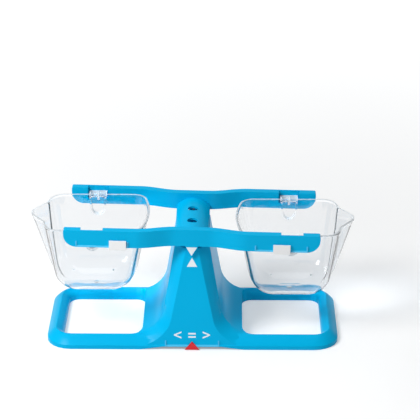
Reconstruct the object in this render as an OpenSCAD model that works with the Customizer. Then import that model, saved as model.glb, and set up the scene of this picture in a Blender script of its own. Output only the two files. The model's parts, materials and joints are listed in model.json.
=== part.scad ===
// Classroom bucket balance: a hollow nesting stand, a one-piece beam with two
// bowed rails, two clear pouring buckets hung from the rails, two sliding
// compensators and a sliding marker. Millimetres, +Z up, +X to the right.
// The origin is on the table, under the middle of the stand.

/* [Stand] */
// Length of the base frame along X
stand_l = 325; // [300:1:360]
// Depth of the base frame along Y
stand_w = 142.2; // [134:0.2:160]
// Width of a bar of the base frame
bar_w = 17.9; // [15:0.1:20]
// Height of the base frame's crest
bar_h = 13.3; // [10:0.1:16]
// Radius of the base frame's outer corners
corner_r = 28; // [20:1:32]
// Radius of the window corners
window_r = 12; // [8:1:16]
// Wall of the stand
stand_wall = 2.2; // [1.6:0.1:3]
// Height of the pillar's flat top
pillar_h = 114.5; // [110:0.5:116]
// Width of the pillar at its top
pillar_top_w = 38; // [36:0.5:40]
// Width that the pillar gains over its height, before its foot flares
pillar_draft = 39; // [34:0.5:42]
// Distance between the two windows, where the pillar's foot ends
foot_w = 111.4; // [104:0.2:120]
// Radius of the flare at the foot of the pillar's sides
flare_r = 29; // [22:1:32]
// Height of the flare at the foot of the front panel
panel_flare_h = 31; // [24:1:36]
// Width that the front panel gains on each side by its flare
panel_flare_w = 40; // [30:1:44]
// Distance that the front face leans back over the pillar's height
pillar_lean = 19.9; // [17:0.1:22]
// Width of the flat front panel at the pillar's top
panel_top_w = 12.6; // [10:0.2:16]
// Width that the front panel gains over the pillar's height
panel_draft = 48; // [40:1:54]

/* [Beam] */
// Length of the beam along its rails
beam_l = 279; // [270:1:284]
// Distance that the rails' outer faces stand back from the stand's front and rear edges
beam_inset = 6.5; // [6:0.1:7]
// Thickness of a rail
rail_t = 9; // [8:0.1:10]
// Height of a rail
rail_h = 19.2; // [17:0.1:21]
// Gap between the pillar's top and the hub's lower edge when level
hub_gap = 4.3; // [4:0.1:5]
// Wall of the beam
beam_wall = 2.4; // [2:0.1:2.8]
// Distance that each rail bows in towards the pillar
rail_bow = 8.6; // [7:0.1:10]
// Radius of the rails' lower end corners
rail_end_r = 14; // [10:0.5:16]
// Width of the hub between the rails
hub_w = 37.6; // [36:0.2:42]
// Radius of the hub's arched roof
hub_roof_r = 24; // [22:0.5:28]
// Distance from the rails' top down to the hub's crest
hub_drop = 5.2; // [4.6:0.1:5.6]
// Radius of the two round holes in the hub's roof
roof_hole_r = 6; // [4:0.1:7]
// Distance between the centres of the two roof holes
roof_hole_pitch = 33; // [30:0.5:36]
// Tilt of the beam at rest, right end down
tilt = 1.36; // [0:0.02:4]

/* [Pivot] */
// Radius of a pivot pin
pin_r = 1.5; // [1.2:0.05:1.6]
// Length of a pivot pin
pin_l = 13.8; // [13:0.1:14.4]
// Distance from the hub's crest down to the pivot axis
pivot_drop = 4.4; // [4.3:0.05:4.6]
// Running clearance round a pin in its cradle
pin_clear = 0.08; // [0.05:0.01:0.1]

/* [Buckets] */
// Distance between the two buckets' hooks
hook_pitch = 218; // [214:1:222]
// Distance from the rails' top down to the buckets' rim
rim_drop = 5.5; // [5:0.1:6]
// Height of a bucket
bucket_h = 88.5; // [76:0.5:92]
// Gap between a bucket's rim and a rail
rim_gap = 4.6; // [4.2:0.1:7]
// Reach of the rim from its hooks towards the pillar
rim_in = 60.5; // [56:0.5:62]
// Reach of the rim from its hooks away from the pillar
rim_out = 57.5; // [52:0.5:62]
// Reach of the pouring spout past the rim's outer end
spout_l = 12.8; // [8:0.2:16]
// Half width of the spout where it leaves the wall
spout_half_w = 25; // [18:0.5:30]
// Wall of a bucket
bucket_wall = 1.8; // [1.4:0.1:2.2]
// Radius of the rounded edge round a bucket's floor
floor_r = 27; // [20:0.5:29]
// Distance from the rim down to the hook's pivot line
hook_drop = 8; // [7:0.1:9]

/* [Sliders] */
// Width of a compensator
comp_w = 18.6; // [14:0.2:22]
// Height of a compensator
comp_h = 10.9; // [10:0.1:12]
// Distance of the left compensator from the beam's middle
comp_left_at = 80.3; // [79.6:0.1:115]
// Distance of the right compensator from the beam's middle
comp_right_at = 97.9; // [79.6:0.1:115]
// Width of the sliding marker
marker_w = 16.4; // [13:0.1:18]
// Height of the sliding marker
marker_h = 9.4; // [8.6:0.1:10]

/* [Hidden] */
$fn = 64;
overrun = 1;
fit_gap = 0.3;

// Stand: slopes of the base bars, as shares of a bar's width
bar_lip = 4.6;
bar_outer_share = 0.642;
bar_inner_share = 0.313;
end_outer_share = 0.53;
end_inner_share = 0.425;
swell_in_share = 0.25;
swell_out_share = 0.75;
crest_plan_share = 0.15;
crest_power = 1.2;
crest_steps = 4;
ring_steps = 6;

// Stand: pillar
lean_slope = pillar_lean / pillar_h;
lean_angle = atan(lean_slope);
foot_half = foot_w / 2;
side_top_inset = 24.6;
side_foot_inset = 15.1;
panel_margin = 1;
panel_foot_z = 2;
corner_inset_share = 0.6;
corner_bulge = 1;
corner_steps = 3;
pillar_root = 1;
pillar_levels = 24;
level_power = 1.9;
ear_w = 17;
ear_top_w = 6.4;
ear_t = 6;
ear_inset = 15;
cradle_lip = 0.8;

// Tracks that the sliders run on: a raised bead with an upright stop at each end
track_t = 0.9;
bead_lift = 0.2;
bead_low_h = 0.8;
bead_h = 2.1;
stop_w = 1.4;
stop_h = 7;

// Stand: marker track on the front face, in the leaning face's own frame
track_half = 30;
track_wall = 2.6;
skirt_lift = 3.4;
skirt_margin = 2;
skirt_half = track_half + skirt_margin;
skirt_run = 26;

// Beam
beam_w = stand_w - 2 * beam_inset;
rail_top_z = pillar_h + hub_gap + rail_h;
pivot_z = rail_top_z - hub_drop - pivot_drop;
rail_low_z = rail_top_z - rail_h;
hub_crest_z = rail_top_z - hub_drop;
rail_mid_y = beam_w / 2 - rail_t / 2;
ear_y = beam_w / 2 - side_top_inset - ear_inset;
bow_inner_x = 17;
bow_outer_x = 62;
bow_steps = 12;
rail_top_r = 1.6;
notch_w = 24;
seat_w = 8;
seat_lip = 0.3;
boss_w = 11;
boss_gap = 2.6;
boss_y = ear_y + ear_t + boss_gap;
boss_t = 6.2;
boss_low = 3.4;
pointer_half_w = 7.8;
pointer_h = 13;
comp_track_in = 68.6;
comp_track_out = 126.2;

// Buckets
rim_w = beam_w - 2 * rail_t - 2 * rim_gap;
hook_x = hook_pitch / 2;
hook_z = rail_top_z - rim_drop - hook_drop;
draft_in = 0.205;
draft_out = 0.15;
draft_side = 0.175;
spout_slope = 0.31;
spout_tip_half = 5;
spout_least_half = 0.01;
end_bulge = 5;
corner_plan_r = 16;
corner_draft = 0.06;
corner_round_share = 0.25;
corner_least_r = 3;
corner_turn = 81;
corner_points = 6;
outline_steps = 16;
floor_steps = 5;
wall_steps = 3;
lip_h = 2.6;
lip_t = 0.8;
hook_w = 20;
hook_bar_t = 1.8;
hook_bar_h = 5;
hook_rib_t = 1.9;
hook_rib_h = 3;
hook_wall_gap = 0.4;
hook_y = beam_w / 2 - beam_wall - hook_wall_gap - hook_bar_t;
nose_r = 1.3;
pad_w = 19;
pad_taper = 0.6;
pad_round_h = 12;
pad_h = 24;

// Sliders
slide_gap = 0.2;
comp_plate_t = 1.5;
comp_leg_t = 1.4;
comp_leg_h = 1.4;
comp_web_t = 1.8;
comp_key_drop = 1.2;
marker_foot = 0.5;
marker_plate_t = 0.8;
marker_clip_half = 3.6;
marker_web_t = 0.9;
marker_leg_t = 1.4;
marker_leg_h = 6;
marker_key_share = 0.7;

// Solid through rings of points, each ring with as many points as the first
module loft(rings) {
    n = len(rings[0]);
    m = len(rings);
    sides = [
        for (i = [0 : m - 2], k = [0 : n - 1])
            let (a = i * n + k, b = i * n + (k + 1) % n)
                each [[a, b + n, b], [a, a + n, b + n]]
    ];
    low = [for (k = [0 : n - 1]) k];
    high = [for (k = [n - 1 : -1 : 0]) (m - 1) * n + k];
    polyhedron(points = [for (r = rings) each r], faces = concat([low], sides, [high]));
}

// Rectangle from corner [x0, y0] to corner [x1, y1] at height z, its corners rounded by r0 at x0
// and by r1 at x1
function ring(x0, y0, x1, y1, r0, r1, z) = [
    for (c = [
        [x1 - r1, y0 + r1, r1, -90], [x1 - r1, y1 - r1, r1, 0],
        [x0 + r0, y1 - r0, r0, 90], [x0 + r0, y0 + r0, r0, 180]
    ])
        for (k = [0 : ring_steps])
            let (a = c[3] + 90 * k / ring_steps)
                [c[0] + c[2] * cos(a), c[1] + c[2] * sin(a), z]
];

// Shares of a bar's outer run and of its rise at share s of the way up its slope
function crest_plan(s) = crest_plan_share * s * s + (1 - crest_plan_share) * s;
function crest_rise(s) = 1 - pow(1 - s, crest_power);

// Outline of the base frame moved in by inset, and by share of a bar's outer slope
function base_ring(inset, share, z) =
    let (x = stand_l / 2 - inset - bar_w * end_outer_share * share,
        y = stand_w / 2 - inset - bar_w * bar_outer_share * share,
        r = corner_r - inset - bar_w * end_outer_share * share)
        ring(-x, -y, x, y, r, r, z);

// Base frame without its windows, its walls moved in by inset and its top down by drop
module base_block(inset, z_low, drop) {
    loft(concat(
        [base_ring(inset, 0, z_low), base_ring(inset, 0, max(bar_lip - drop, 0))],
        [for (i = [1 : crest_steps]) let (s = i / crest_steps, rise = (bar_h - bar_lip) * crest_rise(s))
            base_ring(inset, crest_plan(s), bar_lip + rise - drop)]
    ));
}

// Window through the base on one side, wider by grow all round
module window_block(side, grow, low_z) {
    x_in = foot_half - grow;
    x_out = stand_l / 2 - bar_w + grow;
    y = stand_w / 2 - bar_w + grow;
    run = bar_w * bar_inner_share;
    end_run = bar_w * end_inner_share;
    slope = [for (i = [0 : crest_steps]) let (s = i / crest_steps)
        window_ring(
            x_in, x_out + end_run * s * s, y + run * s * s, end_run * s * s, bar_lip + (bar_h - bar_lip) * s)];
    mirror([side > 0 ? 0 : 1, 0, 0]) loft(concat(
        [window_ring(x_in, x_out, y, 0, low_z)], slope,
        [window_ring(x_in, x_out + end_run, y + run, end_run, bar_h + 3 * overrun)]
    ));
}

// Outline of a window at height z, its outer corners' radius larger by swell
function window_ring(x_in, x_out, y, swell, z) =
    ring(x_in, -y, x_out, y, window_r + swell_in_share * swell, window_r + swell_out_share * swell, z);

// Share of a flare's width reached at share s of its height, as a quarter ellipse
function flare_share(s) = 1 - sqrt(1 - pow(1 - min(max(s, 0), 1), 2));

// Half width of the pillar's side at height z, with the flare at its foot
function side_half(z) =
    pillar_top_w / 2 + pillar_draft / 2 * (1 - z / pillar_h) + flare_r * flare_share((z - bar_h) / flare_r);

// Half width of the front panel at height z
function panel_half(z) =
    let (flat = panel_top_w / 2 + panel_draft / 2 * (1 - z / pillar_h))
        min(flat + panel_flare_w * flare_share((z - panel_foot_z) / panel_flare_h), side_half(z) - panel_margin);

function front_y(z) = stand_w / 2 - lean_slope * z;
function side_y(z) =
    let (top = beam_w / 2 - side_top_inset, foot = stand_w / 2 - side_foot_inset)
        foot - (foot - top) * z / pillar_h;

// Ring of the pillar at height z, its walls moved in by inset: four flat faces and
// four slanting, slightly bulged corners between them, each in corner_steps strips
function pillar_ring(z, inset, at) =
    let (p = panel_half(z) - inset * corner_inset_share, w = side_half(z) - inset,
        f = front_y(z) - inset, s = side_y(z) - inset * corner_inset_share,
        n = corner_steps,
        along = [w - p, s - f],
        out = corner_bulge * [f - s, w - p] / norm(along),
        corner = [for (k = [0 : n]) let (t = k / n) [p, f] + along * t + out * sin(180 * t)])
        concat(
            [for (k = [0 : n]) [corner[k][0], -corner[k][1], at]],
            [for (k = [n : -1 : 0]) [corner[k][0], corner[k][1], at]],
            [for (k = [0 : n]) [-corner[k][0], corner[k][1], at]],
            [for (k = [n : -1 : 0]) [-corner[k][0], -corner[k][1], at]]
        );

function pillar_level(i) = pillar_root + (pillar_h - pillar_root) * pow(i / pillar_levels, level_power);

// Pillar with its walls moved in by inset and its top down by drop, rooted in the base frame
module pillar_block(inset, drop) {
    loft([for (i = [0 : pillar_levels]) pillar_ring(pillar_level(i), inset, pillar_level(i) - drop)]);
}

// Frame of the leaning front face: y = 0 on the face, z along it from the table
module on_front_face() {
    translate([0, -stand_w / 2, 0]) rotate([-lean_angle, 0, 0]) children();
}

// Upright ear on the pillar's top, with an open cradle for a pivot pin
module cradle_ear(side) {
    cradle_r = pin_r + pin_clear;
    shoulder_z = pillar_h + cradle_lip;
    top_z = pivot_z + cradle_lip;
    translate([0, side > 0 ? ear_y : -ear_y - ear_t, 0])
        difference() {
            translate([0, ear_t, 0]) rotate([90, 0, 0]) linear_extrude(ear_t) polygon([
                [-ear_w / 2, pillar_h - stand_wall], [ear_w / 2, pillar_h - stand_wall],
                [ear_w / 2, shoulder_z], [ear_top_w / 2, top_z],
                [-ear_top_w / 2, top_z], [-ear_w / 2, shoulder_z]
            ]);
            translate([0, ear_t + overrun, pivot_z]) rotate([90, 0, 0])
                cylinder(r = cradle_r, h = ear_t + 2 * overrun);
            translate([-cradle_r, -overrun, pivot_z])
                cube([2 * cradle_r, ear_t + 2 * overrun, cradle_lip + overrun]);
        }
}

// Outside of the stand, then the space inside its walls
module stand_outside() {
    difference() {
        union() {
            base_block(0, 0, 0);
            pillar_block(0, 0);
        }
        for (side = [-1, 1]) window_block(side, 0, -overrun);
    }
}

module stand_inside() {
    backing_half = skirt_half + stand_wall;
    difference() {
        union() {
            base_block(stand_wall, -3 * overrun, stand_wall);
            pillar_block(stand_wall, stand_wall);
        }
        for (side = [-1, 1]) window_block(side, stand_wall, -4 * overrun);
        on_front_face() translate([-backing_half, -overrun, -5 * overrun])
            cube([2 * backing_half, track_wall + overrun, skirt_lift + stop_h + 5 * overrun]);
    }
}

// Bead of length w along X with its stops, standing track_t out of the face at y = 0
module track(w) {
    translate([-w / 2, 0, 0]) rotate([90, 0, 90]) linear_extrude(w) polygon([
        [overrun, bead_lift], [-track_t, bead_lift], [-track_t, bead_low_h], [0, bead_h], [overrun, bead_h]
    ]);
    for (x = [-w / 2, w / 2 - stop_w])
        translate([x, -track_t, bead_lift]) cube([stop_w, track_t + overrun, stop_h - bead_lift]);
}

// Space under the lifted edge of the stand's front face
module skirt_gap() {
    translate([0, -stand_w / 2 + track_wall + 2 * overrun, 0]) rotate([90, 0, 0])
        linear_extrude(track_wall + 3 * overrun) polygon([
            [-skirt_half - skirt_run, -overrun], [skirt_half + skirt_run, -overrun],
            [skirt_half + skirt_run, 0], [skirt_half, skirt_lift],
            [-skirt_half, skirt_lift], [-skirt_half - skirt_run, 0]
        ]);
}

module stand() color([0, 0.62, 0.84]) {
    difference() {
        stand_outside();
        stand_inside();
        skirt_gap();
    }
    on_front_face() translate([0, 0, skirt_lift]) track(2 * track_half);
    for (side = [-1, 1]) cradle_ear(side);
}

// Places the beam's own pieces at the beam's tilt about the pivot axis
module on_beam() {
    translate([0, 0, pivot_z]) rotate([0, tilt, 0]) translate([0, 0, -pivot_z]) children();
}

// Share of the bow reached at distance x from the beam's middle
function bow_share(x) =
    let (s = min(max((abs(x) - bow_inner_x) / (bow_outer_x - bow_inner_x), 0), 1))
        (1 + cos(180 * s)) / 2;

function rail_y(x) = rail_mid_y - rail_bow * bow_share(x);

// Places along a rail where its outline has a point, from -x_end to x_end
function rail_stations(x_end) =
    let (half = [for (k = [0 : bow_steps]) bow_inner_x + (bow_outer_x - bow_inner_x) * k / bow_steps])
        concat([-x_end], [for (k = [bow_steps : -1 : 0]) -half[k]], half, [x_end]);

// Plan of a rail with its walls moved in by inset
module rail_plan(inset) {
    xs = rail_stations(beam_l / 2 - inset);
    half = rail_t / 2 - inset;
    polygon(concat(
        [for (x = xs) [x, rail_y(x) - half]],
        [for (k = [len(xs) - 1 : -1 : 0]) [xs[k], rail_y(xs[k]) + half]]
    ));
}

function arc(cx, cz, r, a0, a1, n) = [
    for (k = [0 : n]) let (a = a0 + (a1 - a0) * k / n) [cx + r * cos(a), cz + r * sin(a)]
];

// Front view of a rail with its walls moved in by inset
module rail_front(inset) {
    x = beam_l / 2 - inset;
    r = rail_end_r - inset;
    t = rail_top_r;
    polygon(concat(
        arc(x - r, rail_low_z + rail_end_r, r, -90, 0, 10),
        arc(x - t, rail_top_z - inset - t, t, 0, 90, 4),
        arc(-x + t, rail_top_z - inset - t, t, 90, 180, 4),
        arc(-x + r, rail_low_z + rail_end_r, r, 180, 270, 10),
        [[-x + r, rail_low_z - inset], [x - r, rail_low_z - inset]]
    ));
}

module rail_block(inset) {
    intersection() {
        translate([0, 0, rail_low_z - overrun - inset])
            linear_extrude(rail_h + 2 * overrun + inset) rail_plan(inset);
        translate([0, beam_w, 0]) rotate([90, 0, 0]) linear_extrude(beam_w) rail_front(inset);
    }
}

// Bracket behind a rail's notch, above the sliders' legs
module hook_seat(x) {
    z_low = rail_low_z + comp_leg_h + 2 * slide_gap;
    translate([x - seat_w / 2, rail_mid_y - rail_t / 2, z_low])
        cube([seat_w, rail_t - beam_wall / 2, hook_z + seat_lip - z_low]);
}

// Rail with a notch in its inner wall for each hook, and under it a groove for the nose
module rail() {
    y_wall = rail_mid_y + rail_t / 2 - beam_wall;
    notch_z = hook_z + seat_lip;
    difference() {
        union() {
            difference() {
                rail_block(0);
                rail_block(beam_wall);
                for (x = [-hook_x, hook_x])
                    translate([x - notch_w / 2, 0, notch_z]) cube([notch_w, y_wall, rail_h]);
            }
            for (x = [-hook_x, hook_x]) hook_seat(x);
        }
        for (x = [-hook_x, hook_x])
            translate([x, y_wall, hook_z]) rotate([90, 0, 0]) cylinder(r = nose_r + fit_gap, h = rail_t);
    }
}

// Arched hub with its walls moved in by inset, from y = -reach to y = reach
module hub_block(inset, reach, low_z) {
    intersection() {
        translate([0, reach, hub_crest_z - hub_roof_r]) rotate([90, 0, 0])
            cylinder(r = hub_roof_r - inset, h = 2 * reach, $fn = 128);
        translate([-hub_w / 2 + inset, -reach, low_z])
            cube([hub_w - 2 * inset, 2 * reach, hub_crest_z - low_z + overrun]);
    }
}

module hub() {
    reach = rail_y(0) - rail_t / 2 + beam_wall / 2;
    inner_reach = rail_y(0) - rail_t / 2;
    difference() {
        hub_block(0, reach, rail_low_z);
        difference() {
            hub_block(beam_wall, inner_reach, rail_low_z - overrun);
            for (side = [-1, 1])
                translate([-boss_w / 2, side > 0 ? boss_y : -boss_y - boss_t, pivot_z - boss_low])
                    cube([boss_w, boss_t, hub_crest_z]);
        }
        for (side = [-1, 1]) {
            translate([0, side * roof_hole_pitch / 2, pivot_z])
                cylinder(r = roof_hole_r, h = hub_crest_z);
            translate([0, side > 0 ? boss_y + boss_t + overrun : -boss_y + overrun, pivot_z])
                rotate([90, 0, 0]) cylinder(r = pin_r, h = boss_t + 2 * overrun);
        }
    }
}

// Pointer that hangs from the front rail
module pointer() {
    y = -rail_y(0) - rail_t / 2;
    translate([0, y + beam_wall, 0]) rotate([90, 0, 0]) linear_extrude(beam_wall) polygon([
        [-pointer_half_w, rail_low_z + overrun], [0, rail_low_z - pointer_h],
        [pointer_half_w, rail_low_z + overrun]
    ]);
}

// Track along the front rail's lower edge, that a compensator slides along
module comp_track(side) {
    middle = (comp_track_in + comp_track_out) / 2;
    translate([side * middle, -beam_w / 2, rail_low_z]) track(comp_track_out - comp_track_in);
}

module beam() color([0, 0.62, 0.84]) on_beam() {
    rail();
    mirror([0, 1, 0]) rail();
    hub();
    pointer();
    for (side = [-1, 1]) comp_track(side);
}

// Stub pin through the hub's boss and into the stand's cradle
module pivot_pin(side) color([0.75, 0.76, 0.78]) on_beam()
    translate([0, side > 0 ? ear_y + pin_l + fit_gap : -ear_y - fit_gap, pivot_z])
        rotate([90, 0, 0]) cylinder(r = pin_r, h = pin_l);

module pivot_pin_front() pivot_pin(-1);
module pivot_pin_rear() pivot_pin(1);

// Bulge of the spout past the end wall, at height h and offset v from the middle
function spout_reach(h, v) =
    let (down = bucket_h - h,
        ridge = rim_out + spout_l - spout_slope * down - (rim_out - draft_out * down),
        half = max(spout_half_w * ridge / spout_l, spout_least_half),
        flat = spout_tip_half * ridge / spout_l)
        ridge <= 0 ? 0 : ridge * max(min((half - abs(v)) / (half - flat), 1), 0);

// How far the outline draws in at height h where the floor's edge is rounded
function floor_inset(h, r) = h >= r ? 0 : r - sqrt(max(pow(r, 2) - pow(r - h, 2), 0));

// Outline of a bucket at height h above its floor, its walls moved in by inset
function bucket_outline(h, inset, z) =
    let (down = bucket_h - h,
        round = floor_inset(h - inset, floor_r - inset) + inset,
        a = rim_in - draft_in * down - round,
        b = rim_out - draft_out * down - round,
        c = rim_w / 2 - draft_side * down - round,
        drawn = corner_plan_r - inset - corner_draft * down - corner_round_share * round,
        r = max(drawn, corner_least_r))
        [for (p = concat(end_points(b, c, r, 1, h), end_points(a, c, r, -1, h))) [p[0], p[1], z]];

// Half of the outline round one end: a corner, a bulged end wall and a corner
function end_points(reach, c, r, side, h) =
    let (wall_x = reach - end_bulge,
        half = c - r,
        n = outline_steps,
        turns = [for (k = [0 : corner_points]) corner_turn * k / corner_points],
        first = [for (a = turns) [side * (wall_x - r + r * sin(a)), -side * (half + r * cos(a))]],
        wall = [for (k = [1 : n - 1]) let (t = 2 * k / n - 1, v = half * t)
            [side * (wall_x + end_bulge * (1 - t * t) + (side > 0 ? spout_reach(h, v) : 0)), side * v]],
        last = [for (k = [corner_points : -1 : 0]) let (a = turns[k])
            [side * (wall_x - r + r * sin(a)), side * (half + r * cos(a))]])
        concat(first, wall, last);

// Cup as one skin: up the outside, over the rim and down the inside
module bucket_cup() {
    rises = [for (k = [0 : floor_steps]) 1 - cos(90 * k / floor_steps)];
    top_h = bucket_h - lip_h;
    ups = [for (k = [1 : wall_steps]) floor_r + (top_h - floor_r) * k / wall_steps];
    outer_hs = concat([for (s = rises) floor_r * s], ups);
    inner_hs = concat([for (s = rises) bucket_wall + (floor_r - bucket_wall) * s], ups, [bucket_h]);
    m = len(inner_hs);
    loft(concat(
        [for (h = outer_hs) bucket_outline(h, 0, h)],
        [bucket_outline(top_h + lip_t, -lip_t, top_h + lip_t), bucket_outline(bucket_h, -lip_t, bucket_h)],
        [for (k = [m - 1 : -1 : 0]) bucket_outline(inner_hs[k], bucket_wall, inner_hs[k])]
    ));
}

// Upright tongue-shaped plate, its edge moved in by inset
module tongue(inset, y0, y1) {
    w = pad_w / 2 - inset;
    mid_h = bucket_h - pad_h + pad_round_h;
    translate([0, y1, 0]) rotate([90, 0, 0]) linear_extrude(y1 - y0) polygon(concat(
        [[w, bucket_h - hook_rib_h], [-w, bucket_h - hook_rib_h]],
        [for (p = arc(0, 0, 1, 180, 360, 14)) [(w - pad_taper) * p[0], mid_h + (pad_round_h - inset) * p[1]]]
    ));
}

// Hook on the far side of a bucket: an upright pad, three ribs, a bar and a nose
module bucket_hook() {
    y_rim = rim_w / 2;
    pivot_h = bucket_h - hook_drop;
    for (x = [-1, 0, 1])
        translate([x * (hook_w - hook_rib_t) / 2, y_rim - bucket_wall / 2, bucket_h - hook_rib_h])
            translate([-hook_rib_t / 2, 0, 0])
                cube([hook_rib_t, hook_y - y_rim + bucket_wall, hook_rib_h]);
    translate([-hook_w / 2, hook_y, bucket_h - hook_bar_h]) cube([hook_w, hook_bar_t, hook_bar_h]);
    nose_y = rail_mid_y - rail_t / 2;
    translate([-nose_r, nose_y, pivot_h])
        cube([2 * nose_r, hook_y + hook_bar_t - nose_y, hook_drop - hook_rib_h / 2]);
    translate([0, hook_y + hook_bar_t, pivot_h]) rotate([90, 0, 0])
        cylinder(r = nose_r, h = hook_y + hook_bar_t - nose_y, $fn = 32);
}

module bucket() color([0.86, 0.9, 0.93, 0.4]) {
    y_pad = rim_w / 2 + lip_t;
    y_deep = rim_w / 2 - draft_side * pad_h - bucket_wall;
    difference() {
        union() {
            bucket_cup();
            for (side = [0, 1]) mirror([0, side, 0]) {
                bucket_hook();
                tongue(0, y_deep, y_pad);
            }
        }
        for (side = [0, 1]) mirror([0, side, 0])
            tongue(bucket_wall, y_deep - bucket_wall, y_pad - bucket_wall);
    }
}

// World place of a hook's pivot line on the tilted beam
function hook_at(side) =
    let (dx = side * hook_x, dz = hook_z - pivot_z)
        [dx * cos(tilt) + dz * sin(tilt), 0, pivot_z - dx * sin(tilt) + dz * cos(tilt)];

// A bucket hangs level from its hooks, with its spout away from the pillar
module hung_bucket(side) {
    translate(hook_at(side) - [0, 0, bucket_h - hook_drop])
        mirror([side > 0 ? 0 : 1, 0, 0]) bucket();
}

module bucket_left() hung_bucket(-1);
module bucket_right() hung_bucket(1);

// Clip that rides on the front rail's lower edge: face plate, key, web and inner leg
module compensator(x) color([0.95, 0.95, 0.94]) on_beam() translate([x, -beam_w / 2, rail_low_z]) {
    web_low = -slide_gap - comp_web_t;
    inner_y = beam_wall + slide_gap;
    plate_y = -track_t - slide_gap - comp_plate_t;
    key_low = bead_h + slide_gap;
    translate([-comp_w / 2, plate_y, web_low]) cube([comp_w, comp_plate_t, comp_h]);
    translate([-comp_w / 2, plate_y, key_low])
        cube([comp_w, comp_plate_t + track_t, web_low + comp_h - key_low - comp_key_drop]);
    translate([-comp_w / 2, plate_y, web_low])
        cube([comp_w, inner_y + comp_leg_t - plate_y, comp_web_t]);
    translate([-comp_w / 2, inner_y, web_low]) cube([comp_w, comp_leg_t, comp_leg_h - web_low]);
}

module compensator_left() compensator(-comp_left_at);
module compensator_right() compensator(comp_right_at);

// Triangular marker that clips round the lifted edge of the stand's front face
module marker() color([0.88, 0.16, 0.2]) {
    plate_back = -track_t - slide_gap;
    tip_z = marker_foot + marker_h;
    key_low = skirt_lift + bead_h + slide_gap;
    key_top = marker_foot + marker_h * marker_key_share;
    key_half = marker_clip_half * (tip_z - key_top) / marker_h;
    on_front_face() {
        translate([0, plate_back, 0]) rotate([90, 0, 0]) linear_extrude(marker_plate_t)
            polygon([[-marker_w / 2, marker_foot], [marker_w / 2, marker_foot], [0, tip_z]]);
        translate([0, -slide_gap, 0]) rotate([90, 0, 0]) linear_extrude(track_t + marker_plate_t / 2)
            polygon([[-marker_clip_half, key_low], [marker_clip_half, key_low],
                [key_half, key_top], [-key_half, key_top]]);
    }
    translate([-marker_clip_half, 0, 0]) rotate([90, 0, 90]) linear_extrude(2 * marker_clip_half)
        marker_clip(plate_back - marker_plate_t / 2, track_wall + slide_gap);
}

// Place along Y of a point at this depth behind the leaning front face, at height z
function behind_face(depth, z) = depth / cos(lean_angle) + lean_slope * z - stand_w / 2;

// Side view of the marker's clip: a web under the skirt's edge and a leg behind it
module marker_clip(front_depth, leg_depth) {
    web_top = skirt_lift - slide_gap;
    web_low = web_top - marker_web_t;
    leg_top = web_top + marker_leg_h;
    back_depth = leg_depth + marker_leg_t;
    polygon([
        [behind_face(front_depth, web_low), web_low], [behind_face(back_depth, web_low), web_low],
        [behind_face(back_depth, leg_top), leg_top], [behind_face(leg_depth, leg_top), leg_top],
        [behind_face(leg_depth, web_top), web_top], [behind_face(front_depth, web_top), web_top]
    ]);
}

stand();
beam();
pivot_pin_front();
pivot_pin_rear();
bucket_left();
bucket_right();
compensator_left();
compensator_right();
marker();
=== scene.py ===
"""Looks of the bucket balance: blue stand and beam, two clear buckets, sliders and printed marks."""

import json
import math

import bmesh
import bpy
from mathutils import Matrix, Vector


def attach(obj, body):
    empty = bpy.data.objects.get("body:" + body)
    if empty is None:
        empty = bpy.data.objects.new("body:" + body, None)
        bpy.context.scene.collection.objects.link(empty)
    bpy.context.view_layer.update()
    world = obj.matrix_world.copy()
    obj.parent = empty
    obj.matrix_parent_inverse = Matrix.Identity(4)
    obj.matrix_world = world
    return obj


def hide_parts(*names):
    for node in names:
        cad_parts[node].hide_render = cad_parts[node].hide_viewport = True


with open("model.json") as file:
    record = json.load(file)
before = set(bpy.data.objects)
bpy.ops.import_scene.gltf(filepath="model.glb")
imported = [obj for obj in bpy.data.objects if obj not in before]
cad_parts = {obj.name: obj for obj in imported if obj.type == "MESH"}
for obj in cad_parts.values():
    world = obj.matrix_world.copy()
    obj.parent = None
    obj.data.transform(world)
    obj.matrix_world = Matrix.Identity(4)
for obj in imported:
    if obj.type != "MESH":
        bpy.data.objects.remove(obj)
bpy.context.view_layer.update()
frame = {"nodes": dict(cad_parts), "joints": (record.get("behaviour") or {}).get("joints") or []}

# Lengths below are in millimetres, as in the part's own source, and MM turns them into metres
MM = 0.001

# Camera: a long lens, looking a little down on the front
CAMERA_LENS = 156.0
CAMERA_TARGET = Vector((19.15, 0.0, 137.86)) * MM
CAMERA_DISTANCE = 2026.7 * MM
CAMERA_ELEVATION = math.radians(23.47)
CAMERA_YAW = math.radians(-0.61)
CAMERA_SENSOR = 36.0
CAMERA_CLIP_END = 20.0

# Colours, linear
BLUE = (0.0, 0.475, 0.82)
BLUE_DEEP = (0.0, 0.43, 0.76)
# Paler blue of the tracks: a painted highlight
BLUE_PAINTED_HIGHLIGHT = (0.08, 0.56, 0.88)
BLUE_PAINTED_HIGHLIGHT_DEEP = (0.06, 0.53, 0.85)
WHITE = (0.92, 0.925, 0.93)
WHITE_DEEP = (0.89, 0.89, 0.89)
INK_WHITE = (0.90, 0.93, 0.95)
INK_DEEP = (0.84, 0.88, 0.91)
RED = (0.76, 0.02, 0.03)
RED_DEEP = (0.68, 0.015, 0.022)
STEEL = (0.62, 0.63, 0.65)
CLEAR = (0.91, 0.92, 0.93)
# Whiter, less clear plastic on the buckets' rims, creases, tongues, hooks and pips: a painted
# highlight
CLEAR_PAINTED_HIGHLIGHT = (0.90, 0.95, 0.98)
CLEAR_SHADE = (0.70, 0.73, 0.76)
FLOOR = (0.80, 0.80, 0.80)
SKY = (0.95, 0.98, 1.0)

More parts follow.
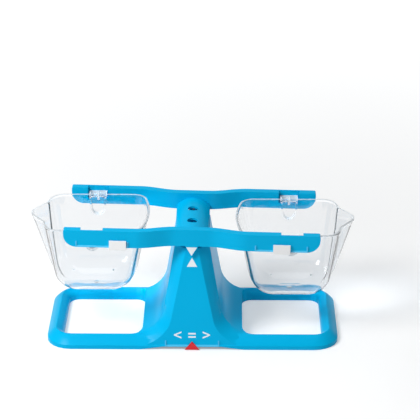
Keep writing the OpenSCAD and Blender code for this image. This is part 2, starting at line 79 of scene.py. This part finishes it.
# Light: the sky's strength off camera, the floor's glow near and far, and the lamps, all in metres
SKY_LEVEL = 0.3
FLOOR_GLOW = 0.28
FAR_FLOOR_GLOW = 1.0
GLOW_NEAR = 0.3
GLOW_FAR = 1.9
FLOOR_REACH = 6.0
FLOOR_ROUGHNESS = 0.9
FLOOR_GLOSS = 0.1
KEY_POWER = 14.0
KEY_PLACE = (-0.72, -0.56, 1.02)
KEY_TARGET = (0, 0, 0.08)
KEY_SIZE = 0.45
TOP_POWER = 6.0
TOP_PLACE = (0.1, 0.4, 2.0)
TOP_TARGET = (0, 0, 0)
TOP_SIZE = 1.4

# Plastics: scales of the flow, polish, grain and ripple, their depths in metres, and the refraction
FLOW_SCALE = 14.0
FLOW_DETAIL = 3.0
POLISH_SCALE = 16.0
POLISH_SPREAD = 0.015
GRAIN_SCALE = 1800.0
GRAIN_DEPTH = 0.00004
PLASTIC_IOR = 1.49
RIPPLE_SCALE = 60.0
RIPPLE_STRENGTH = 0.1
RIPPLE_DEPTH = 0.0003
HAZE_SPREAD = 0.05
CLEAR_IOR = 1.5
FINE_DETAIL = 2.0

# Steel: scale of its polish, and the least and most roughness
STEEL_SCALE = 900.0
STEEL_ROUGH_LOW = 0.22
STEEL_ROUGH_HIGH = 0.4

# Cleaning and rounding of the mouldings: lengths in millimetres, angles in degrees
MERGE_DIST = 0.002
FLAT_ANGLE = 0.6
SHARP_ANGLE = 28
SMOOTH_ANGLE = 32
CUP_SMOOTH_ANGLE = 34
EDGE_SEGMENTS = 2
CREST_SEGMENTS = 3
CREST_UP = 0.95
CREST_FRONT = 0.9
STAND_EDGE = 0.45
MARKER_EDGE = 0.3
COMPENSATOR_EDGE = 0.25
PIN_EDGE = 0.2

# Bucket, upright at its own origin: the hooks are at x = 0 and the floor at z = 0
BUCKET_H = 88.5
RIM_W = 102.0
RIM_IN = 60.5
RIM_OUT = 57.5
SPOUT_L = 12.8
SPOUT_HALF_W = 27.0
SPOUT_TIP_HALF = 5.0
SPOUT_SLOPE = 0.31
WALL = 1.8
FLOOR_R = 27.0
HOOK_DROP = 8.0
DRAFT_IN = 0.205
DRAFT_OUT = 0.15
DRAFT_SIDE = 0.175
END_BULGE = 5.0
CORNER_PLAN_R = 16.0
CORNER_DRAFT = 0.06
CORNER_ROUND_SHARE = 0.25
CORNER_LEAST_R = 3.0
CORNER_SHARE = 0.72
LIP_H = 2.6
LIP_T = 0.8
RIM_ROUND = 0.5
RIM_EDGE_H = 1.0
RIM_CHAMFER_SHARE = 0.3
CORNER_POINTS = 14
MIDDLE_STEPS = 14
SIDE_STEPS = 13
CREASE_HALF_W = 0.4
CREASE_LEAST = 1.5
CREASE_FOOT_Z = 20.0
FLOOR_STEPS = 14
WALL_STEPS = 10
FLOOR_RINGS = 6
DISC_POINTS = 24
TONGUE_POINTS = 28
NOSE_POINTS = 16
LEAST_SPAN = 1e-6
# Material slot of the painted highlight, on the buckets and on the tracks
PAINTED_HIGHLIGHT_SLOT = 1

# Rounding of a rail's upper edge, the faces that the tracks stand on, and their reach along X, which
# bound the painted highlight on the tracks
CREST_ROUND = 1.1
BEAM_FACE_Y = -64.6
STAND_FACE_Y = -71.1
BEAM_TRACK_REACH = 127.0
STAND_TRACK_REACH = 30.5
TRACK_SKIN = 0.15

# Hook on each side of a bucket
PAD_W = 19.0
PAD_TAPER = 0.6
PAD_ROUND_H = 12.0
PAD_H = 24.0
HOOK_W = 20.0
HOOK_BAR_T = 1.8
HOOK_BAR_H = 5.0
HOOK_RIB_T = 1.9
HOOK_RIB_H = 3.0
HOOK_Y = 60.0
NOSE_R = 1.3
NOSE_Y = 55.6

# Pips on a bucket's side walls and the gate mark on its floor
PIP_X = 22.0
PIP_Z = 37.0
PIP_R = 1.2
PIP_T = 0.5
GATE_R = 3.0
GATE_T = 0.5

# Surfaces that carry printed marks
STAND_W = 142.2
PILLAR_H = 114.5
PILLAR_LEAN = 19.9
POINTER_Y = 56.0
PIVOT_Z = 128.4
BEAM_TILT = math.radians(1.36)

# Printed marks: thickness of the ink, its lift off the plastic, and the marks' sizes
INK_T = 0.05
INK_LIFT = 0.02
LOWER_MARK_TIP_Z = 103.9
LOWER_MARK_FOOT_Z = 93.7
LOWER_MARK_HALF = 5.7
UPPER_MARK_TOP_Z = 117.6
UPPER_MARK_TIP_Z = 107.5
UPPER_MARK_HALF = 5.85
SIGN_Z = 16.7
SIGN_PITCH = 15.85
SIGN_HALF = 4.1
SIGN_STROKE = 1.75
EQUALS_GAP = 1.85
EQUALS_DROP = 0.4
SIGN_TIP_SHARE = 1 / 3


def new_material(name):
    """A new node material, its tree and its Principled shader."""
    material = bpy.data.materials.new(name)
    material.use_nodes = True
    tree = material.node_tree
    return material, tree, tree.nodes["Principled BSDF"]


def add_noise(tree, place, scale, detail):
    """Noise texture over the object's own coordinates."""
    noise = tree.nodes.new("ShaderNodeTexNoise")
    noise.inputs["Scale"].default_value = scale
    noise.inputs["Detail"].default_value = detail
    tree.links.new(place.outputs["Object"], noise.inputs["Vector"])
    return noise.outputs["Fac"]


def add_range(tree, source, low, high, target):
    """Leads a value between 0 and 1 to a socket, as a value between low and high."""
    spread = tree.nodes.new("ShaderNodeMapRange")
    spread.inputs["To Min"].default_value = low
    spread.inputs["To Max"].default_value = high
    tree.links.new(source, spread.inputs["Value"])
    tree.links.new(spread.outputs["Result"], target)
    return spread


def add_bump(tree, source, strength, depth, shader):
    """Fine relief from a texture on the shader's normal."""
    bump = tree.nodes.new("ShaderNodeBump")
    bump.inputs["Strength"].default_value = strength
    bump.inputs["Distance"].default_value = depth
    tree.links.new(source, bump.inputs["Height"])
    tree.links.new(bump.outputs["Normal"], shader.inputs["Normal"])


def seen_rays(tree, kinds):
    """Value that is 1 for these kinds of ray and 0 for all others."""
    path = tree.nodes.new("ShaderNodeLightPath")
    value = path.outputs[kinds[0]]
    for kind in kinds[1:]:
        either = tree.nodes.new("ShaderNodeMath")
        either.operation = "MAXIMUM"
        tree.links.new(value, either.inputs[0])
        tree.links.new(path.outputs[kind], either.inputs[1])
        value = either.outputs["Value"]
    return value


def plastic(name, colour, deep, roughness, gloss, grain):
    """Moulded gloss plastic: faint flow in the colour, uneven polish and a fine moulded grain."""
    material, tree, shader = new_material(name)
    place = tree.nodes.new("ShaderNodeTexCoord")
    tint = tree.nodes.new("ShaderNodeMix")
    tint.data_type = "RGBA"
    tint.inputs["A"].default_value = (*deep, 1.0)
    tint.inputs["B"].default_value = (*colour, 1.0)
    tree.links.new(add_noise(tree, place, FLOW_SCALE, FLOW_DETAIL), tint.inputs["Factor"])
    tree.links.new(tint.outputs["Result"], shader.inputs["Base Color"])
    polish = add_noise(tree, place, POLISH_SCALE, 0.0)
    low, high = roughness - POLISH_SPREAD, roughness + POLISH_SPREAD
    add_range(tree, polish, low, high, shader.inputs["Roughness"])
    skin = add_noise(tree, place, GRAIN_SCALE, FINE_DETAIL)
    add_bump(tree, skin, grain, GRAIN_DEPTH, shader)
    shader.inputs["IOR"].default_value = PLASTIC_IOR
    shader.inputs["Specular IOR Level"].default_value = gloss
    return material


def clear_plastic(name, colour, clarity, polish):
    """Clear styrene: refracting walls with a faint ripple, which cast only a light shadow."""
    material, tree, shader = new_material(name)
    shader.inputs["Base Color"].default_value = (*colour, 1.0)
    shader.inputs["Transmission Weight"].default_value = clarity
    shader.inputs["IOR"].default_value = CLEAR_IOR
    place = tree.nodes.new("ShaderNodeTexCoord")
    ripple = add_noise(tree, place, RIPPLE_SCALE, FINE_DETAIL)
    add_range(tree, ripple, polish, polish + HAZE_SPREAD, shader.inputs["Roughness"])
    add_bump(tree, ripple, RIPPLE_STRENGTH, RIPPLE_DEPTH, shader)
    through = tree.nodes.new("ShaderNodeBsdfTransparent")
    through.inputs["Color"].default_value = (*CLEAR_SHADE, 1.0)
    either = tree.nodes.new("ShaderNodeMixShader")
    tree.links.new(seen_rays(tree, ["Is Shadow Ray"]), either.inputs["Fac"])
    tree.links.new(shader.outputs["BSDF"], either.inputs[1])
    tree.links.new(through.outputs["BSDF"], either.inputs[2])
    tree.links.new(either.outputs["Shader"], tree.nodes["Material Output"].inputs["Surface"])
    return material


def steel(name):
    """Turned steel with a fine uneven polish."""
    material, tree, shader = new_material(name)
    shader.inputs["Base Color"].default_value = (*STEEL, 1.0)
    shader.inputs["Metallic"].default_value = 1.0
    place = tree.nodes.new("ShaderNodeTexCoord")
    rings = add_noise(tree, place, STEEL_SCALE, FINE_DETAIL)
    add_range(tree, rings, STEEL_ROUGH_LOW, STEEL_ROUGH_HIGH, shader.inputs["Roughness"])
    return material


def add_object(name, mesh, material):
    """An object in the scene with this mesh and material."""
    piece = bpy.data.objects.new(name, mesh)
    bpy.context.scene.collection.objects.link(piece)
    mesh.materials.append(material)
    return piece


def soften(mesh, angle):
    """Smooth shading that breaks at edges sharper than angle degrees."""
    mesh.shade_smooth()
    mesh.set_sharp_from_angle(angle=math.radians(angle))


def round_edges(shape, edges, width, segments):
    """Rounds these edges by width, in this many steps."""
    bmesh.ops.bevel(
        shape, geom=edges, offset=width * MM, segments=segments, profile=0.5,
        affect="EDGES", clamp_overlap=True)


def sharp_edges(shape, angle):
    """Edges where two faces meet at more than angle degrees."""
    least = math.radians(angle)
    return [e for e in shape.edges if len(e.link_faces) == 2 and e.calc_face_angle() > least]


def break_shading(shape, angle):
    """Smooth shading that breaks at edges sharper than angle degrees, before a shape is a mesh."""
    shape.normal_update()
    for face in shape.faces:
        face.smooth = True
    for edge in sharp_edges(shape, angle):
        edge.smooth = False


def is_crest(edge):
    """Whether an edge lies between an upward face and one that looks to the front."""
    normals = [face.normal for face in edge.link_faces]
    return max(n.z for n in normals) > CREST_UP and min(n.y for n in normals) < -CREST_FRONT


def dressed(node, material, body, edge):
    """A CAD node's own shape with its tessellation cleaned up and its sharp edges rounded by edge.

    With an edge of 0, as on the beam, only the crests of the rails are rounded.
    """
    mesh = bpy.data.meshes.new(node + "_moulded")
    shape = bmesh.new()
    shape.from_mesh(frame["nodes"][node].data)
    bmesh.ops.remove_doubles(shape, verts=shape.verts, dist=MERGE_DIST * MM)
    bmesh.ops.dissolve_limit(
        shape, angle_limit=math.radians(FLAT_ANGLE), verts=shape.verts, edges=shape.edges)
    if edge:
        round_edges(shape, sharp_edges(shape, SHARP_ANGLE), edge, EDGE_SEGMENTS)
    else:
        crests = [e for e in sharp_edges(shape, SHARP_ANGLE) if is_crest(e)]
        round_edges(shape, crests, CREST_ROUND, CREST_SEGMENTS)
        bmesh.ops.remove_doubles(shape, verts=shape.verts, dist=MERGE_DIST * MM)
    break_shading(shape, SMOOTH_ANGLE if edge else SHARP_ANGLE)
    shape.to_mesh(mesh)
    shape.free()
    piece = add_object(node + "_moulded", mesh, material)
    flatten = piece.modifiers.new("flat_faces", "WEIGHTED_NORMAL")
    flatten.mode = "FACE_AREA_WITH_ANGLE"
    flatten.keep_sharp = True
    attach(piece, body)
    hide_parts(node)
    return piece


def paint_track_highlight(piece, face_y, slope, reach):
    """Gives the tracks, proud of a front face, a paler blue: a painted highlight on their beads and
    stops.
    """
    mesh = piece.data
    mesh.materials.append(blue_painted_highlight)
    for face in mesh.polygons:
        proud = face.center.y < (face_y - TRACK_SKIN) * MM + slope * face.center.z
        if proud and all(abs(mesh.vertices[k].co.x) < reach * MM for k in face.vertices):
            face.material_index = PAINTED_HIGHLIGHT_SLOT


def spout_reach(height, across):
    """How far the spout stands out of the end wall, at this height and distance from the middle."""
    down = BUCKET_H - height
    ridge = SPOUT_L - (SPOUT_SLOPE - DRAFT_OUT) * down
    if ridge <= 0:
        return 0.0
    half = SPOUT_HALF_W * ridge / SPOUT_L
    flat = SPOUT_TIP_HALF * ridge / SPOUT_L
    share = (half - abs(across)) / max(half - flat, LEAST_SPAN)
    return ridge * min(max(share, 0.0), 1.0)


def floor_inset(height, radius):
    """How far the rounded foot of a wall lies inside it, at this height above the floor."""
    if height >= radius:
        return 0.0
    return radius - math.sqrt(max(radius ** 2 - (radius - height) ** 2, 0.0))


def end_steps(height, half):
    """Places of an end wall's points, with a narrow strip on each crease of the spout."""
    ridge = max(SPOUT_L - (SPOUT_SLOPE - DRAFT_OUT) * (BUCKET_H - height), 0.0)
    crease = min(max(SPOUT_HALF_W * ridge / SPOUT_L, CREASE_LEAST), half - CREASE_LEAST)
    near, far = crease - CREASE_HALF_W, crease + CREASE_HALF_W
    ahead = [near * k / MIDDLE_STEPS for k in range(1, MIDDLE_STEPS + 1)]
    ahead += [far + (half - far) * k / SIDE_STEPS for k in range(SIDE_STEPS)]
    return [-y for y in reversed(ahead)] + [0.0] + ahead


def end_points(reach, half_w, radius, side, height):
    """Half of the outline, round one end: corner, bulged end wall and corner, running smoothly."""
    wall_x = reach - END_BULGE
    turn = math.pi / 2 - math.atan2(2 * END_BULGE, half_w - CORNER_SHARE * radius)
    half = half_w - radius * (1 - math.cos(turn))
    turns = [turn * k / CORNER_POINTS for k in range(CORNER_POINTS + 1)]
    corner = []
    for a in turns:
        x = wall_x + radius * (math.sin(a) - math.sin(turn))
        corner.append((side * x, side * (half_w - radius * (1 - math.cos(a)))))
    wall = []
    for across in end_steps(height, half):
        spout = spout_reach(height, across) if side > 0 else 0.0
        bulge = END_BULGE * (1 - (across / half) ** 2)
        wall.append((side * (wall_x + bulge + spout), side * across))
    return [(x, -y) for x, y in corner] + wall + list(reversed(corner))


def bucket_outline(height, inset):
    """Outline of the bucket at this height above its floor, its walls moved in by inset."""
    down = BUCKET_H - height
    round_in = floor_inset(height - inset, FLOOR_R - inset) + inset
    reach_in = RIM_IN - DRAFT_IN * down - round_in
    reach_out = RIM_OUT - DRAFT_OUT * down - round_in
    half_w = RIM_W / 2 - DRAFT_SIDE * down - round_in
    drawn = CORNER_PLAN_R - inset - CORNER_DRAFT * down - CORNER_ROUND_SHARE * round_in
    radius = max(drawn, CORNER_LEAST_R)
    outline = end_points(reach_out, half_w, radius, 1, height)
    return outline + end_points(reach_in, half_w, radius, -1, height)


def at_height(outline, height):
    """The outline's points at this height."""
    return [(x, y, height) for x, y in outline]


def floor_rings(ring):
    """Rings that fill a floor, shrinking towards its middle."""
    x_mid = sum(p[0] for p in ring) / len(ring)
    return [
        [(x_mid + (x - x_mid) * k / FLOOR_RINGS, y * k / FLOOR_RINGS, z) for x, y, z in ring]
        for k in range(1, FLOOR_RINGS)
    ]


def loft(name, rings):
    """Closed mesh through rings of points in millimetres, each with as many points as the first."""
    shape = bmesh.new()
    rows = [[shape.verts.new(Vector(p) * MM) for p in ring] for ring in rings]
    count = len(rows[0])
    for low, high in zip(rows, rows[1:]):
        for k in range(count):
            j = (k + 1) % count
            shape.faces.new((low[k], low[j], high[j], high[k]))
    shape.faces.new(list(reversed(rows[0])))
    shape.faces.new(rows[-1])
    mesh = bpy.data.meshes.new(name)
    bmesh.ops.recalc_face_normals(shape, faces=shape.faces)
    shape.to_mesh(mesh)
    shape.free()
    return mesh


def cup_mesh():
    """Bucket's cup as one skin: up the outside, over the rim and down the inside."""
    rises = [1 - math.cos(math.pi / 2 * k / FLOOR_STEPS) for k in range(FLOOR_STEPS + 1)]
    top = BUCKET_H - LIP_H
    ups = [FLOOR_R + (top - FLOOR_R) * k / WALL_STEPS for k in range(1, WALL_STEPS + 1)]
    outer_heights = [FLOOR_R * s for s in rises] + ups
    outer = [at_height(bucket_outline(h, 0.0), h) for h in outer_heights]
    inner_heights = [WALL + (FLOOR_R - WALL) * s for s in rises] + ups + [BUCKET_H - RIM_ROUND]
    inner = [at_height(bucket_outline(h, WALL), h) for h in reversed(inner_heights)]
    chamfer = RIM_CHAMFER_SHARE * RIM_ROUND
    lip = [
        (top + LIP_T, -LIP_T),
        (BUCKET_H - RIM_EDGE_H, -LIP_T),
        (BUCKET_H - RIM_ROUND, -LIP_T),
        (BUCKET_H - chamfer, -LIP_T + chamfer),
        (BUCKET_H, -LIP_T + RIM_ROUND),
        (BUCKET_H, WALL - RIM_ROUND),
        (BUCKET_H - chamfer, WALL - chamfer),
    ]
    rim = [at_height(bucket_outline(h, inset), h) for h, inset in lip]
    below = floor_rings(outer[0]) + outer
    mesh = loft("cup", below + rim + inner + list(reversed(floor_rings(inner[-1]))))
    count = len(outer[0])
    first = (len(below) + 1) * count
    # The rim and lip get the painted highlight
    for face in mesh.polygons[first:first + (len(rim) - 2) * count]:
        face.material_index = PAINTED_HIGHLIGHT_SLOT
    # So do narrow strips on the spout's creases: a painted highlight
    creases = (CORNER_POINTS + SIDE_STEPS, CORNER_POINTS + 1 + 2 * MIDDLE_STEPS + SIDE_STEPS)
    for face in mesh.polygons:
        if face.index % count in creases and face.center.z > CREASE_FOOT_Z * MM:
            face.material_index = PAINTED_HIGHLIGHT_SLOT
    return mesh


def box_mesh(name, low, high):
    """Block between two corners in millimetres."""
    corners = [(low[0], low[1]), (high[0], low[1]), (high[0], high[1]), (low[0], high[1])]
    return loft(name, [at_height(corners, low[2]), at_height(corners, high[2])])


def arc(x, z, radius, first, last, count):
    """Points round a centre between two angles in degrees."""
    angles = [math.radians(first + (last - first) * k / count) for k in range(count + 1)]
    return [(x + radius * math.cos(a), z + radius * math.sin(a)) for a in angles]


def disc(radius):
    """Points of a whole circle round zero."""
    return arc(0, 0, radius, 0, 360 - 360 / DISC_POINTS, DISC_POINTS - 1)


def tongue_mesh(inset, y_near, y_far):
    """Upright tongue-shaped plate between two depths, its edge moved in by inset."""
    half = PAD_W / 2 - inset
    middle = BUCKET_H - PAD_H + PAD_ROUND_H
    top = BUCKET_H - HOOK_RIB_H
    profile = [(half, top), (-half, top)]
    for x, z in arc(0, 0, 1, 180, 360, TONGUE_POINTS):
        profile.append(((half - PAD_TAPER) * x, middle + (PAD_ROUND_H - inset) * z))
    mesh = loft("tongue", [[(x, y, z) for x, z in profile] for y in (y_near, y_far)])
    # The tongue's rim faces get the painted highlight
    for face in mesh.polygons[:len(profile)]:
        face.material_index = PAINTED_HIGHLIGHT_SLOT
    return mesh


def nose_mesh():
    """Rounded nose under the hook's bar, along Y."""
    pivot_z = BUCKET_H - HOOK_DROP
    top = BUCKET_H - HOOK_RIB_H
    profile = [(NOSE_R, top), (-NOSE_R, top)] + arc(0, pivot_z, NOSE_R, 180, 360, NOSE_POINTS)
    return loft("nose", [[(x, y, z) for x, z in profile] for y in (NOSE_Y, HOOK_Y + HOOK_BAR_T)])


def pip_mesh(x, y):
    """Small moulded pip on a side wall, at this place along X and this depth of the wall."""
    steps = [(y - WALL / 2, PIP_R), (y + PIP_T / 2, PIP_R), (y + PIP_T, PIP_R / 2)]
    return loft("pip", [[(x + a, d, PIP_Z + b) for a, b in disc(r)] for d, r in steps])


def gate_mesh():
    """Low round gate mark on the floor."""
    steps = [(WALL / 2, GATE_R), (WALL + GATE_T / 2, GATE_R), (WALL + GATE_T, GATE_R - GATE_T)]
    return loft("gate", [at_height(disc(r), h) for h, r in steps])


def all_painted_highlight(mesh):
    """Gives every face of a mesh the painted highlight of the clear plastic."""
    for face in mesh.polygons:
        face.material_index = PAINTED_HIGHLIGHT_SLOT
    return mesh


def combine(base, tool, operation):
    """Base after a boolean with tool. Both are objects, and tool is removed."""
    step = base.modifiers.new("step", "BOOLEAN")
    step.operation = operation
    step.object = tool
    step.solver = "EXACT"
    bpy.context.view_layer.update()
    evaluated = base.evaluated_get(bpy.context.evaluated_depsgraph_get())
    made = bpy.data.meshes.new_from_object(evaluated)
    base.modifiers.clear()
    base.data = made
    bpy.data.objects.remove(tool)


def bucket_piece(name):
    """Cup with a hook, a tongue and two pips on its front and rear side."""
    piece = add_object(name, cup_mesh(), clear)
    # Second slot: the painted highlight of the rims, creases, tongues, hooks and pips
    piece.data.materials.append(clear_painted_highlight)
    y_pad = RIM_W / 2 + LIP_T
    y_deep = RIM_W / 2 - DRAFT_SIDE * PAD_H - WALL
    y_rim = RIM_W / 2
    bar_low = (-HOOK_W / 2, HOOK_Y, BUCKET_H - HOOK_BAR_H)
    bar_high = (HOOK_W / 2, HOOK_Y + HOOK_BAR_T, BUCKET_H)
    solids = [
        lambda: tongue_mesh(0, y_deep, y_pad),
        lambda: all_painted_highlight(box_mesh("bar", bar_low, bar_high)),
        lambda: all_painted_highlight(nose_mesh()),
    ]
    y_wall = RIM_W / 2 - DRAFT_SIDE * (BUCKET_H - PIP_Z)
    for x in (-PIP_X, PIP_X):
        solids.append(lambda x=x: all_painted_highlight(pip_mesh(x, y_wall)))
    for k in (-1, 0, 1):
        x = k * (HOOK_W - HOOK_RIB_T) / 2
        solids.append(lambda x=x: all_painted_highlight(box_mesh(
            "rib", (x - HOOK_RIB_T / 2, y_rim - WALL / 2, BUCKET_H - HOOK_RIB_H),
            (x + HOOK_RIB_T / 2, HOOK_Y + HOOK_BAR_T / 2, BUCKET_H))))
    cuts = [lambda: tongue_mesh(WALL, y_deep - WALL, y_pad - WALL)]
    for makers, operation in ((solids, "UNION"), (cuts, "DIFFERENCE")):
        for make in makers:
            for side in (1, -1):
                mesh = make()
                if side < 0:
                    mesh.transform(Matrix.Scale(-1, 4, Vector((0, 1, 0))))
                    mesh.flip_normals()
                combine(piece, add_object("tool", mesh, clear), operation)
    combine(piece, add_object("tool", gate_mesh(), clear), "UNION")
    soften(piece.data, CUP_SMOOTH_ANGLE)
    return piece


def hang_bucket(node, joint, side):
    """Hangs a bucket level from its joint, with its spout away from the pillar."""
    piece = bucket_piece(node + "_clear")
    hook = Vector(next(j for j in frame["joints"] if j["name"] == joint)["pos_m"])
    turn = Matrix.Rotation(math.pi if side < 0 else 0.0, 4, "Z")
    drop = Matrix.Translation(hook - Vector((0, 0, (BUCKET_H - HOOK_DROP) * MM)))
    piece.data.transform(drop @ turn)
    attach(piece, node)
    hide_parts(node)


def face_point(x, z, lift):
    """Point on the stand's leaning front face, at this distance in front of it."""
    slope = PILLAR_LEAN / PILLAR_H
    lean = math.atan(slope)
    y = -STAND_W / 2 + slope * z - lift * math.cos(lean)
    return Vector((x, y, z - lift * math.sin(lean)))


def pointer_point(x, z, lift):
    """Point on the pointer's front face, tilted with the beam."""
    turn = Matrix.Rotation(BEAM_TILT, 3, "Y")
    pivot = Vector((0, 0, PIVOT_Z))
    return pivot + turn @ (Vector((x, -POINTER_Y - lift, z)) - pivot)


def print_mark(name, outline, place, body):
    """A printed mark: a film of white ink over this outline, on the surface that place gives."""
    rings = [[place(x, z, lift) for x, z in outline] for lift in (INK_LIFT, INK_LIFT + INK_T)]
    piece = add_object(name, loft(name, rings), ink)
    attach(piece, body)


def print_marks():
    """The two triangles at the pointer and the three signs at the marker."""
    lower = [
        (-LOWER_MARK_HALF, LOWER_MARK_FOOT_Z), (LOWER_MARK_HALF, LOWER_MARK_FOOT_Z),
        (0, LOWER_MARK_TIP_Z),
    ]
    print_mark("mark_on_pillar", lower, face_point, "stand")
    upper = [
        (0, UPPER_MARK_TIP_Z), (UPPER_MARK_HALF, UPPER_MARK_TOP_Z),
        (-UPPER_MARK_HALF, UPPER_MARK_TOP_Z),
    ]
    print_mark("mark_on_pointer", upper, pointer_point, "beam")
    tip, arm = SIGN_STROKE * SIGN_TIP_SHARE, SIGN_HALF - SIGN_STROKE
    chevron = [
        (SIGN_HALF, SIGN_HALF), (-SIGN_HALF, tip), (-SIGN_HALF, -tip), (SIGN_HALF, -SIGN_HALF),
        (SIGN_HALF, -arm), (SIGN_STROKE - SIGN_HALF + tip, 0), (SIGN_HALF, arm),
    ]
    for name, side in (("sign_less", 1), ("sign_greater", -1)):
        outline = [(side * (x - SIGN_PITCH), z + SIGN_Z) for x, z in chevron]
        print_mark(name, outline, face_point, "stand")
    for name, side in (("sign_equal_upper", 1), ("sign_equal_lower", -1)):
        low = SIGN_Z - EQUALS_DROP + side * EQUALS_GAP - SIGN_STROKE / 2
        high = low + SIGN_STROKE
        outline = [(-SIGN_HALF, low), (SIGN_HALF, low), (SIGN_HALF, high), (-SIGN_HALF, high)]
        print_mark(name, outline, face_point, "stand")


def build_camera():
    """The photo's view."""
    data = bpy.data.cameras.new("view")
    data.lens = CAMERA_LENS
    data.sensor_width = CAMERA_SENSOR
    data.clip_end = CAMERA_CLIP_END
    camera = bpy.data.objects.new("view", data)
    bpy.context.scene.collection.objects.link(camera)
    forward = Vector((
        math.sin(CAMERA_YAW) * math.cos(CAMERA_ELEVATION),
        math.cos(CAMERA_YAW) * math.cos(CAMERA_ELEVATION),
        -math.sin(CAMERA_ELEVATION),
    ))
    camera.location = CAMERA_TARGET - forward * CAMERA_DISTANCE
    camera.rotation_mode = "QUATERNION"
    camera.rotation_quaternion = forward.to_track_quat("-Z", "Y")
    bpy.context.scene.camera = camera


def build_stage():
    """Pale seamless floor that stays white to the camera and keeps the object's shadow."""
    mesh = bpy.data.meshes.new("floor")
    signs = [(-1, -1), (1, -1), (1, 1), (-1, 1)]
    corners = [(FLOOR_REACH * x, FLOOR_REACH * y, 0) for x, y in signs]
    mesh.from_pydata(corners, [], [(0, 1, 2, 3)])
    material, tree, shader = new_material("floor_paper")
    shader.inputs["Base Color"].default_value = (*FLOOR, 1.0)
    shader.inputs["Roughness"].default_value = FLOOR_ROUGHNESS
    shader.inputs["Specular IOR Level"].default_value = FLOOR_GLOSS
    shader.inputs["Emission Color"].default_value = (1.0, 1.0, 1.0, 1.0)
    place = tree.nodes.new("ShaderNodeTexCoord")
    away = tree.nodes.new("ShaderNodeVectorMath")
    away.operation = "LENGTH"
    tree.links.new(place.outputs["Object"], away.inputs[0])
    amount = tree.nodes.new("ShaderNodeMath")
    amount.operation = "MULTIPLY"
    kinds = ["Is Camera Ray", "Is Transmission Ray", "Is Glossy Ray"]
    tree.links.new(seen_rays(tree, kinds), amount.inputs[0])
    glow = add_range(tree, away.outputs["Value"], FLOOR_GLOW, FAR_FLOOR_GLOW, amount.inputs[1])
    glow.inputs["From Min"].default_value = GLOW_NEAR
    glow.inputs["From Max"].default_value = GLOW_FAR
    tree.links.new(amount.outputs["Value"], shader.inputs["Emission Strength"])
    add_object("floor", mesh, material)


def build_world():
    """Pale sky: full strength to the camera and through the buckets, and dim as a light."""
    world = bpy.data.worlds.new("studio")
    bpy.context.scene.world = world
    world.use_nodes = True
    tree = world.node_tree
    background = tree.nodes["Background"]
    background.inputs["Color"].default_value = (*SKY, 1.0)
    seen = seen_rays(tree, ["Is Camera Ray", "Is Transmission Ray"])
    add_range(tree, seen, SKY_LEVEL, 1.0, background.inputs["Strength"])


def add_lamp(name, place, target, size, power):
    """Square area lamp at a place, aimed at a target."""
    data = bpy.data.lights.new(name, "AREA")
    data.shape = "SQUARE"
    data.size = size
    data.energy = power
    lamp = bpy.data.objects.new(name, data)
    bpy.context.scene.collection.objects.link(lamp)
    lamp.location = place
    aim = Vector(target) - Vector(place)
    lamp.rotation_mode = "QUATERNION"
    lamp.rotation_quaternion = aim.to_track_quat("-Z", "Y")


bpy.context.scene.view_settings.view_transform = "Standard"
build_camera()
build_stage()
build_world()
add_lamp("window_left", KEY_PLACE, KEY_TARGET, KEY_SIZE, KEY_POWER)
add_lamp("top", TOP_PLACE, TOP_TARGET, TOP_SIZE, TOP_POWER)

blue = plastic("blue_plastic", BLUE, BLUE_DEEP, roughness=0.3, gloss=0.07, grain=0.15)
# Paler blue for the tracks: a painted highlight on their beads and stops
blue_painted_highlight = plastic(
    "blue_plastic_painted_highlight", BLUE_PAINTED_HIGHLIGHT, BLUE_PAINTED_HIGHLIGHT_DEEP, roughness=0.3, gloss=0.3, grain=0.15)
white = plastic("white_plastic", WHITE, WHITE_DEEP, roughness=0.4, gloss=0.4, grain=0.1)
red = plastic("red_plastic", RED, RED_DEEP, roughness=0.35, gloss=0.35, grain=0.1)
ink = plastic("printed_ink", INK_WHITE, INK_DEEP, roughness=0.55, gloss=0.3, grain=0.05)
clear = clear_plastic("clear_plastic", CLEAR, clarity=1.0, polish=0.02)
# Whiter, less clear plastic: a painted highlight on the buckets' edges
clear_painted_highlight = clear_plastic("clear_plastic_painted_highlight", CLEAR_PAINTED_HIGHLIGHT, clarity=0.4, polish=0.25)
pin_steel = steel("pin_steel")

stand = dressed("stand", blue, "stand", STAND_EDGE)
paint_track_highlight(stand, STAND_FACE_Y, PILLAR_LEAN / PILLAR_H, STAND_TRACK_REACH)
beam = dressed("beam", blue, "beam", 0)
paint_track_highlight(beam, BEAM_FACE_Y, 0.0, BEAM_TRACK_REACH)
dressed("compensator_left", white, "compensator_left", COMPENSATOR_EDGE)
dressed("compensator_right", white, "compensator_right", COMPENSATOR_EDGE)
dressed("marker", red, "marker", MARKER_EDGE)
dressed("pivot_pin_front", pin_steel, "beam", PIN_EDGE)
dressed("pivot_pin_rear", pin_steel, "beam", PIN_EDGE)
hang_bucket("bucket_left", "bucket_left_swing", -1)
hang_bucket("bucket_right", "bucket_right_swing", 1)
print_marks()
